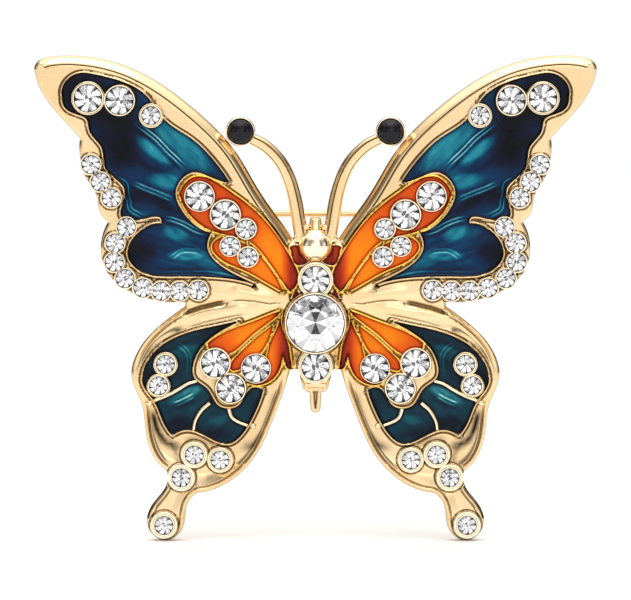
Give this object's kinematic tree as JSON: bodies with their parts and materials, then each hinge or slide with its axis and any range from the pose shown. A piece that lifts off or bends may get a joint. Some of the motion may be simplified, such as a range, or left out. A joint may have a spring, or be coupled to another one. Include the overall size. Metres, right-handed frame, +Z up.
{
  "type": "brooch",
  "caption": "Butterfly brooch: gilt casting with enamelled wing cells, round crystals in raised cups, curled antennae, and a hinged pin with a turning safety catch behind.",
  "frame": {"origin": "middle of the pin stem's straight part on its axis, stem closed, on the butterfly's plane of symmetry", "axes": "+Z up as worn, +X across the wings from hinge to catch, face looking along -Y"},
  "size_m": [0.06, 0.0092, 0.0519],
  "materials": {
    "gold_plate": "polished pale gold plating",
    "finding_plate": "polished pale gold plating",
    "teal_enamel": "glossy translucent enamel",
    "orange_enamel": "glossy translucent enamel",
    "red_enamel": "glossy translucent enamel",
    "clear_crystal": "cut glass with a silver foil back",
    "black_stone": "polished domed black stone"
  },
  "bodies": {
    "brooch": {"black_stone_left": "black_stone", "black_stone_right": "black_stone", "casting": "gold_plate", "catch_base": "finding_plate", "crystal_abdomen": "clear_crystal", "crystal_border_inner_left": "clear_crystal", "crystal_border_inner_right": "clear_crystal", "crystal_border_outer_left": "clear_crystal", "crystal_border_outer_right": "clear_crystal", "crystal_border_upper_left": "clear_crystal", "crystal_border_upper_right": "clear_crystal", "crystal_centre": "clear_crystal", "crystal_fan_bottom_left": "clear_crystal", "crystal_fan_bottom_right": "clear_crystal", "crystal_fan_inner_left": "clear_crystal", "crystal_fan_inner_right": "clear_crystal", "crystal_fan_outer_left": "clear_crystal", "crystal_fan_outer_right": "clear_crystal", "crystal_lobe_fifth_left": "clear_crystal", "crystal_lobe_fifth_right": "clear_crystal", "crystal_lobe_first_left": "clear_crystal", "crystal_lobe_first_right": "clear_crystal", "crystal_lobe_fourth_left": "clear_crystal", "crystal_lobe_fourth_right": "clear_crystal", "crystal_lobe_second_left": "clear_crystal", "crystal_lobe_second_right": "clear_crystal", "crystal_lobe_third_left": "clear_crystal", "crystal_lobe_third_right": "clear_crystal", "crystal_lower_edge_lower_left": "clear_crystal", "crystal_lower_edge_lower_right": "clear_crystal", "crystal_lower_edge_upper_left": "clear_crystal", "crystal_lower_edge_upper_right": "clear_crystal", "crystal_tail_left": "clear_crystal", "crystal_tail_right": "clear_crystal", "crystal_thorax": "clear_crystal", "crystal_tip_front_left": "clear_crystal", "crystal_tip_front_right": "clear_crystal", "crystal_tip_inner_left": "clear_crystal", "crystal_tip_inner_right": "clear_crystal", "crystal_tip_middle_left": "clear_crystal", "crystal_tip_middle_right": "clear_crystal", "crystals_margin_chain_left": "clear_crystal", "crystals_margin_chain_right": "clear_crystal", "crystals_margin_trio_left": "clear_crystal", "crystals_margin_trio_right": "clear_crystal", "enamel_orange_lower_left": "orange_enamel", "enamel_orange_lower_right": "orange_enamel", "enamel_orange_upper_left": "orange_enamel", "enamel_orange_upper_right": "orange_enamel", "enamel_red_left": "red_enamel", "enamel_red_right": "red_enamel", "enamel_teal_lower_left": "teal_enamel", "enamel_teal_lower_right": "teal_enamel", "enamel_teal_upper_left": "teal_enamel", "enamel_teal_upper_right": "teal_enamel", "hinge_bracket": "finding_plate", "hinge_rivet": "finding_plate"},
    "pin": {"pin_stem": "finding_plate"},
    "catch_roller": {"catch_roller": "finding_plate"}
  },
  "joints": [
    {"name": "pin_swing", "type": "hinge", "parent": "brooch", "child": "pin", "pos_m": [-0.015, 0, 0], "axis": [0, 0, 1], "range_deg": [0, 80]},
    {"name": "catch_turn", "type": "hinge", "parent": "brooch", "child": "catch_roller", "pos_m": [0.0156, 0, 0], "axis": [1, 0, 0], "range_deg": [0, 100]}
  ]
}
